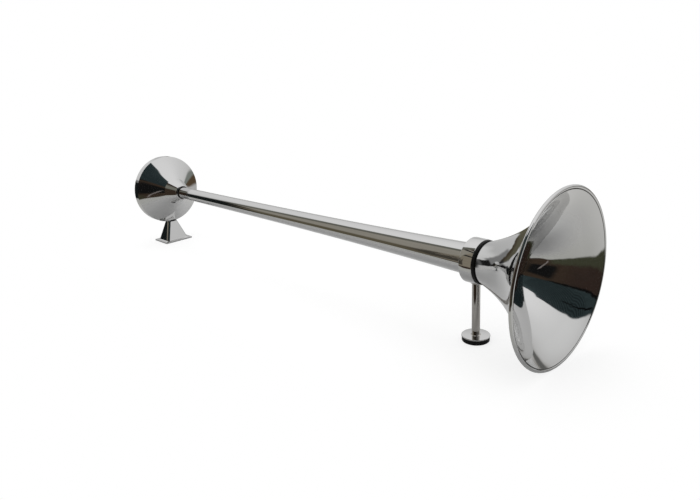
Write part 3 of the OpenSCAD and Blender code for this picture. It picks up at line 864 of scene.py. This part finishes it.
def make_post_base(steel):
    """Polished fillet between the post and the disc."""
    fillet_r = 1.1
    # It reaches a little into the post and into the disc
    inside = POST_R - 0.3
    foot = DISC_HIGH - 0.2
    edge = POST_R + fillet_r
    outline = [(inside, foot), (edge, foot)]
    outline += arc((edge, DISC_HIGH + fillet_r), fillet_r, -90, -180, 10)
    outline.append((inside, DISC_HIGH + fillet_r))
    piece("post_base", spin(outline, SMALL_FACETS, upright), steel, "front_support")


# Materials


# Reflections in a row that are followed on spun steel, after which it glows with painted light
MOST_SKIMS = 4


def surface(name):
    """New material with its tree, its principled shader and the object's own coordinates."""
    material = bpy.data.materials.new(name)
    t = Tree(material)
    shader = t.add("BsdfPrincipled")
    t.feed(t.add("OutputMaterial").inputs["Surface"], shader.outputs[0])
    return material, t, shader, t.add("TexCoord").outputs["Object"]


def round_the_axis(t, place):
    """Distance from the trumpet's axis, place along it and angle round it."""
    part = t.add("SeparateXYZ", Vector=place)
    height = t.math("SUBTRACT", part.outputs["Z"], AXIS_Z)
    reach = t.length(part.outputs["Y"], height)
    return reach, part.outputs["X"], t.math("ARCTAN2", height, part.outputs["Y"])


def turning_lines(t, place, fine, turn):
    """Noise in fine rings round the trumpet's axis. Turn is how fast it changes along a ring."""
    reach, along, angle = round_the_axis(t, place)
    across = t.product(reach, fine)
    lines = t.add("CombineXYZ", X=across, Y=t.product(along, fine), Z=t.product(angle, turn))
    return t.noise(lines.outputs[0], detail=3.0, roughness=0.6)


def crease_shade_in(t, place, crease):
    """How much painted shade darkens each place beside a crease: a radius, a place along and a width."""
    radius, distance, width = (size * MM for size in crease)
    reach, along, _ = round_the_axis(t, place)
    away = t.length(t.math("SUBTRACT", reach, radius), t.math("SUBTRACT", along, distance))
    return t.step(away, width * 0.45, width, low=0.9, high=0.0)


def inside_share(t, place):
    """1 where a surface near the trumpet's axis faces it, inside a neck or a tube, and 0 elsewhere."""
    from_axis = t.vector("MULTIPLY", t.vector("SUBTRACT", place, (0, 0, AXIS_Z)), (0, 1, 1))
    outward = t.vector("DOT_PRODUCT", t.add("TexCoord").outputs["Normal"], from_axis)
    reach = round_the_axis(t, place)[0]
    return t.product(t.fall(outward, -0.004, 0.0), t.fall(reach, 0.021, 0.025))


def mirror_polish(t, place, tone):
    """Colour and roughness of a mirror finish: slow clouds, wiping marks and specks of dust."""
    clouds = t.noise(place, scale=28.0, detail=3.0)
    marks = t.noise(t.vector("MULTIPLY", place, (60.0, 900.0, 900.0)), detail=3.0, roughness=0.6)
    dust = t.step(t.noise(place, scale=1500.0, roughness=0.7), 0.75, 0.85)
    tint = t.mix(clouds, rgb(*(0.962 * part for part in tone)), rgb(*tone))
    tint = t.mix(t.product(dust, 0.25), tint, rgb(0.42, 0.41, 0.40))
    rough = t.step(clouds, 0.35, 0.75, low=0.03, high=0.06)
    rough = t.math("ADD", rough, t.product(t.step(marks, 0.45, 0.8), 0.025))
    return tint, t.math("ADD", rough, t.product(dust, 0.12))


def polished_steel(name, spun, creases=(), tone=(0.636, 0.636, 0.632)):
    """Mirror-polished stainless steel, with painted shade darkening its creases.

    Where it is spun, faint rings lie round the trumpet's axis, and surfaces that face the axis keep
    the dull skin that drawing leaves.
    """
    material, t, shader, place = surface(name)
    tint, rough = mirror_polish(t, place, tone)
    for crease in creases:
        # Painted shade: each crease darkens the colour to near black and dulls the shine
        crease_shade = crease_shade_in(t, place, crease)
        tint = t.mix(crease_shade, tint, rgb(0.035, 0.032, 0.028))
        rough = t.math("ADD", rough, t.product(crease_shade, 0.30))
    height = t.noise(place, scale=9.0)
    metallic = 1.0
    if spun:
        dull = inside_share(t, place)
        rough = t.math("ADD", rough, t.product(dull, 0.45))
        metallic = t.math("SUBTRACT", 1.0, t.product(dull, 0.8))
        # Painted light: where light has skimmed round the flare more often than this, the steel glows
        # with the studio's mean grey, so that the light isn't lost
        limit = MOST_SKIMS - 0.5
        skims = t.math("GREATER_THAN", t.add("LightPath").outputs["Glossy Depth"], limit)
        t.feed(shader.inputs["Emission Color"], rgb(STUDIO_MEAN))
        t.feed(shader.inputs["Emission Strength"], skims)
        rings = turning_lines(t, place, fine=420.0, turn=0.35)
        height = t.math("ADD", height, t.product(rings, 0.03))
    t.feed(shader.inputs["Base Color"], tint)
    t.feed(shader.inputs["Metallic"], metallic)
    t.feed(shader.inputs["Roughness"], rough)
    t.feed(shader.inputs["Normal"], t.bump(height, strength=0.05, distance=0.002))
    return material


def satin_steel():
    """Plain stainless steel, turned and left satin."""
    material, t, shader, place = surface("satin_steel")
    grain = turning_lines(t, place, fine=5000.0, turn=6.0)
    t.feed(shader.inputs["Metallic"], 1.0)
    t.feed(shader.inputs["Base Color"], t.mix(grain, rgb(0.50, 0.50, 0.51), rgb(0.62, 0.62, 0.63)))
    t.feed(shader.inputs["Roughness"], t.step(grain, 0.3, 0.7, low=0.22, high=0.34))
    t.feed(shader.inputs["Normal"], t.bump(grain, strength=0.25, distance=0.0002))
    return material


def turned_brass():
    """Brass with turning lines and a little tarnish."""
    material, t, shader, place = surface("turned_brass")
    lines = t.noise(t.vector("MULTIPLY", place, (500.0, 500.0, 9000.0)))
    tarnish = t.step(t.noise(place, scale=160.0, detail=4.0, roughness=0.6), 0.45, 0.7)
    rough = t.math("ADD", t.step(lines, 0.3, 0.7, low=0.18, high=0.28), t.product(tarnish, 0.15))
    t.feed(shader.inputs["Metallic"], 1.0)
    t.feed(shader.inputs["Base Color"], t.mix(tarnish, rgb(0.74, 0.56, 0.27), rgb(0.45, 0.32, 0.16)))
    t.feed(shader.inputs["Roughness"], rough)
    t.feed(shader.inputs["Normal"], t.bump(lines, strength=0.2, distance=0.0002))
    return material


def black_rubber(name, level, roughness):
    """Moulded black rubber, with a fine skin and a little bloom."""
    material, t, shader, place = surface(name)
    bloom = t.step(t.noise(place, scale=90.0, detail=4.0, roughness=0.6), 0.45, 0.8)
    grain = t.noise(place, scale=2600.0, roughness=0.6)
    rough = t.step(t.math("ADD", grain, bloom), 0.4, 1.3, low=roughness, high=roughness + 0.18)
    dusty = rgb(level * 2.2, level * 2.1, level * 2.0)
    t.feed(shader.inputs["Base Color"], t.mix(bloom, rgb(level), dusty))
    t.feed(shader.inputs["Roughness"], rough)
    t.feed(shader.inputs["Specular IOR Level"], 0.12)
    t.feed(shader.inputs["Normal"], t.bump(grain, strength=0.25, distance=0.0002))
    return material


def red_fibre():
    """Red-brown fibre, with the mottling of pressed paper."""
    material, t, shader, place = surface("red_fibre")
    fibres = t.noise(t.vector("MULTIPLY", place, (2200.0, 700.0, 2200.0)), detail=4.0, roughness=0.7)
    t.feed(shader.inputs["Base Color"], t.mix(fibres, rgb(0.30, 0.10, 0.06), rgb(0.46, 0.19, 0.12)))
    t.feed(shader.inputs["Roughness"], t.step(fibres, 0.3, 0.7, low=0.55, high=0.75))
    t.feed(shader.inputs["Normal"], t.bump(fibres, strength=0.3, distance=0.0002))
    return material


def dress(node, material):
    """Gives a CAD node its finish."""
    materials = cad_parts[node].data.materials
    for i in range(len(materials)):
        materials[i] = material


def dress_nodes(plain, post, housing, satin):
    """Gives each CAD node that stays its finish."""
    soft_black = black_rubber("bush_rubber", level=0.004, roughness=0.34)
    dull_black = black_rubber("gasket_rubber", level=0.02, roughness=0.55)
    finishes = {
        housing: ("throat_nipple", "front_cover"),
        plain: ("rear_foot",),
        post: ("support_post",),
        satin: ("rim_wire", "diaphragm", "spacer_ring", "spring_washers"),
        turned_brass(): ("diaphragm_stiffener", "inlet_screw"),
        soft_black: ("collar_bush", "saddle_gasket", "foot_pad"),
        dull_black: ("front_gasket", "rear_gasket"),
        red_fibre(): ("throat_seal", "inlet_seal"),
    }
    for material, names in finishes.items():
        for name in names:
            dress(name, material)


bpy.context.scene.view_settings.view_transform = "Standard"
make_camera()
make_world()
make_table()
make_lamp()

# Creases darkened by painted shade: radius, place along the trumpet and width, in millimetres
rim_crease = (MOUTH_R - 3.45, MOUTH_X - 1.0, 0.75)
sleeve_root = (SLEEVE_R + 0.5, NOSE_X - 0.2, 1.7)
bell_steel = polished_steel("bell_steel", spun=True, creases=[rim_crease])
housing_steel = polished_steel("housing_steel", spun=True, creases=[sleeve_root])
tube_steel = polished_steel("tube_steel", spun=True)
plain_steel = polished_steel("plain_mirror_steel", spun=False)
post_steel = polished_steel("post_steel", spun=False, tone=(0.52, 0.50, 0.47))
satin = satin_steel()
make_back_cover(housing_steel)
make_bell(bell_steel)
make_tube(tube_steel)
make_solder_line(tube_steel)
make_collar(tube_steel)
make_disc(plain_steel)
make_post_weld(post_steel)
make_post_base(post_steel)
make_screws(satin)
dress_nodes(plain_steel, post_steel, housing_steel, satin)
